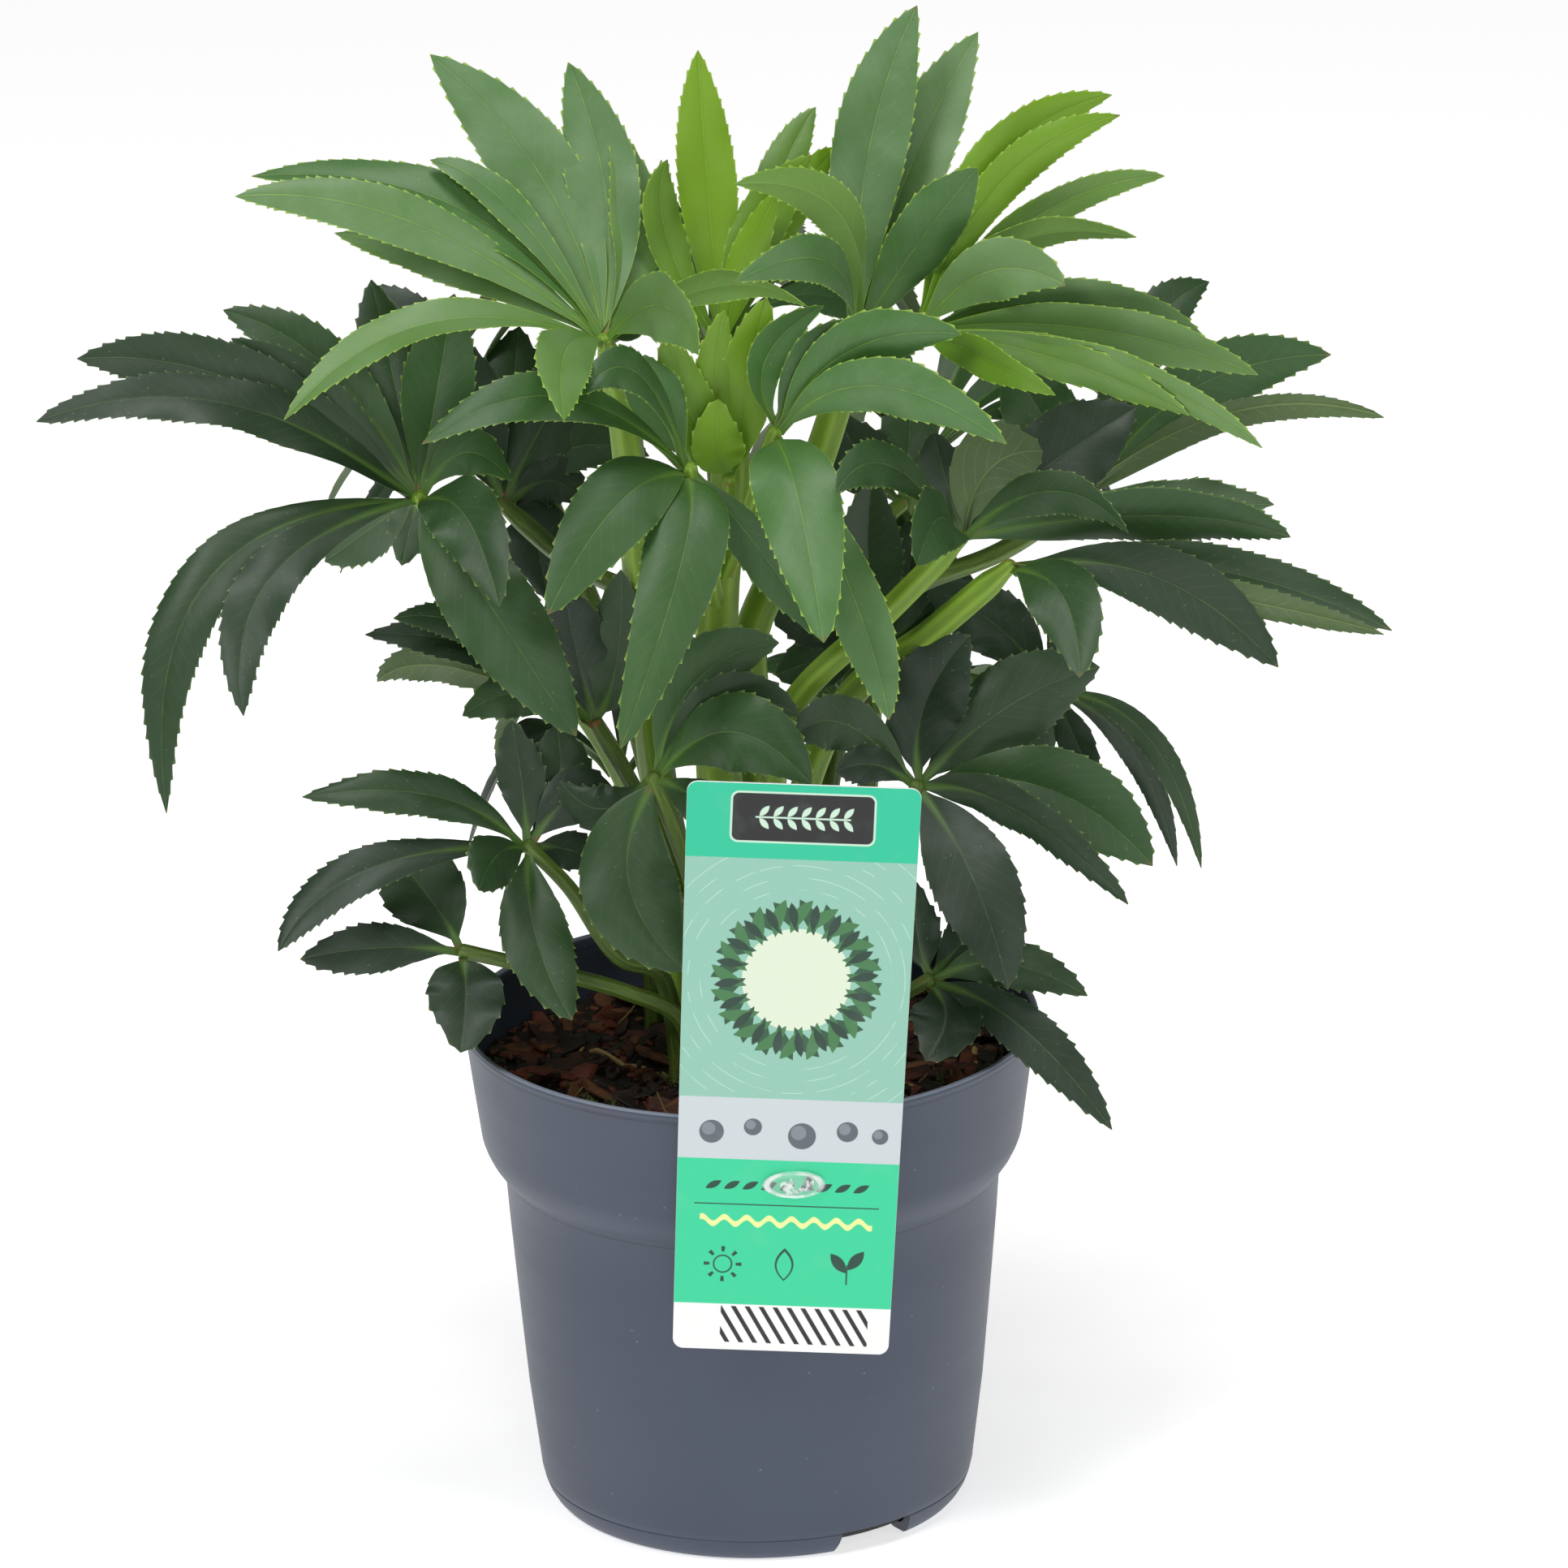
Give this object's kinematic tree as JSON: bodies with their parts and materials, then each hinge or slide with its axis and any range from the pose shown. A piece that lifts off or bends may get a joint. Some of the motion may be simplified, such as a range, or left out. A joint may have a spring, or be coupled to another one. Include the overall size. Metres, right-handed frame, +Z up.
{
  "type": "potted hellebore plant",
  "caption": "Leafy hellebore with toothed, fan-shaped leaves on thick stems, rooted in the soil of a step-collar nursery pot with a hang card.",
  "frame": {"origin": "middle of the pot's underside", "axes": "+Z up, the card hangs on the -Y side, +X to the right as seen from the front"},
  "size_m": [0.3293, 0.2164, 0.3765],
  "materials": {
    "pot": "moulded, satin",
    "soil": "bark mulch over damp potting soil",
    "card": "printed card, gloss",
    "clip": "clear, gloss",
    "leaf_dark": "leathery, satin",
    "leaf_mid": "leathery, satin",
    "leaf_young": "soft, satin"
  },
  "bodies": {
    "root": {"pot": "pot", "soil": "soil", "plant_card": "card", "card_clip": "clip", "stem_left": "leaf_mid", "stem_centre": "leaf_mid", "stem_right": "leaf_young", "stem_right_low": "leaf_dark", "stem_far_right": "leaf_dark", "leaf_far_left": "leaf_dark", "leaf_mid_left": "leaf_dark", "leaf_low_left": "leaf_dark", "leaf_edge_left": "leaf_dark", "leaf_mid_right": "leaf_dark", "leaf_low_centre": "leaf_dark", "leaf_low_right": "leaf_dark", "leaf_edge_right": "leaf_dark", "leaf_back_left": "leaf_dark", "leaf_back_middle": "leaf_dark", "leaf_back_right": "leaf_dark", "leaf_back_low_left": "leaf_dark", "leaf_back_low_right": "leaf_dark"}
  },
  "joints": []
}
